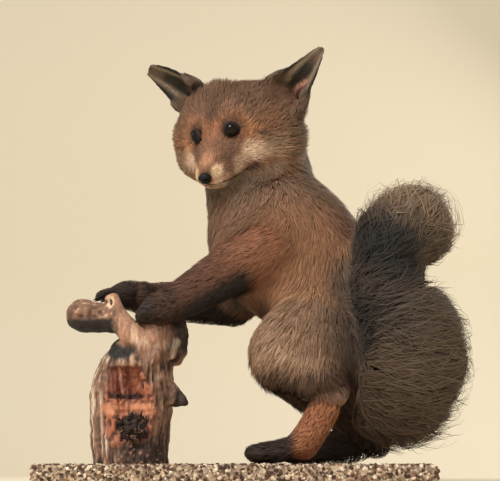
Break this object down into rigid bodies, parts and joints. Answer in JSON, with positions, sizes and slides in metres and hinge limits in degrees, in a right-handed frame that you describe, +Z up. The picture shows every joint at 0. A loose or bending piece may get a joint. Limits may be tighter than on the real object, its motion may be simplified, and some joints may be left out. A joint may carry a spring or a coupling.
{
  "type": "mounted red fox",
  "caption": "Taxidermy red fox, upright on its hind feet with forepaws on a weathered stump and its head turned to its left, on a rough board.",
  "frame": {"origin": "centre of the board's underside", "axes": "+Z up; the fox's body faces -X, and its left side is towards -Y; +X towards its tail"},
  "size_m": [0.4312, 0.2197, 0.4713],
  "materials": {
    "bark_dark": "dark bark",
    "board_rough": "rough chipped chipboard, bare",
    "claw_horn": "horn, satin",
    "eye_glass": "glossy black taxidermy eye",
    "fur_black": "short dense fur, dark brown to black",
    "fur_grey": "long soft fur, grey-brown",
    "fur_pale": "short fur, cream",
    "fur_red": "long soft fur, rufous",
    "nose_black": "moist black skin, finely pebbled",
    "wood_smooth": "worn smooth, bare",
    "wood_weathered": "weathered, bare"
  },
  "bodies": {
    "root": {"base_board": "board_rough", "claw_forepaw_left_1": "claw_horn", "claw_forepaw_left_2": "claw_horn", "claw_forepaw_left_3": "claw_horn", "claw_forepaw_left_4": "claw_horn", "claw_forepaw_right_1": "claw_horn", "claw_forepaw_right_2": "claw_horn", "claw_forepaw_right_3": "claw_horn", "claw_forepaw_right_4": "claw_horn", "claw_hindfoot_left_1": "claw_horn", "claw_hindfoot_left_2": "claw_horn", "claw_hindfoot_left_3": "claw_horn", "claw_hindfoot_left_4": "claw_horn", "claw_hindfoot_right_1": "claw_horn", "claw_hindfoot_right_2": "claw_horn", "claw_hindfoot_right_3": "claw_horn", "claw_hindfoot_right_4": "claw_horn", "ear_left": "fur_black", "ear_right": "fur_black", "eye_left": "eye_glass", "eye_right": "eye_glass", "foreleg_lower_left": "fur_red", "foreleg_lower_right": "fur_red", "foreleg_upper_left": "fur_red", "foreleg_upper_right": "fur_red", "forepaw_left": "fur_black", "forepaw_right": "fur_black", "head": "fur_red", "hind_foot_left": "fur_black", "hind_foot_right": "fur_black", "jaw": "fur_pale", "neck": "fur_grey", "nose": "nose_black", "shank_left": "fur_red", "shank_right": "fur_red", "stump": "wood_weathered", "stump_bark": "bark_dark", "stump_burr": "bark_dark", "stump_knob": "wood_weathered", "stump_limb": "wood_smooth", "stump_spur": "wood_weathered", "tail_base": "fur_grey", "tail_middle": "fur_grey", "tail_tip": "fur_grey", "thigh_left": "fur_red", "thigh_right": "fur_red", "trunk": "fur_red"}
  },
  "joints": []
}
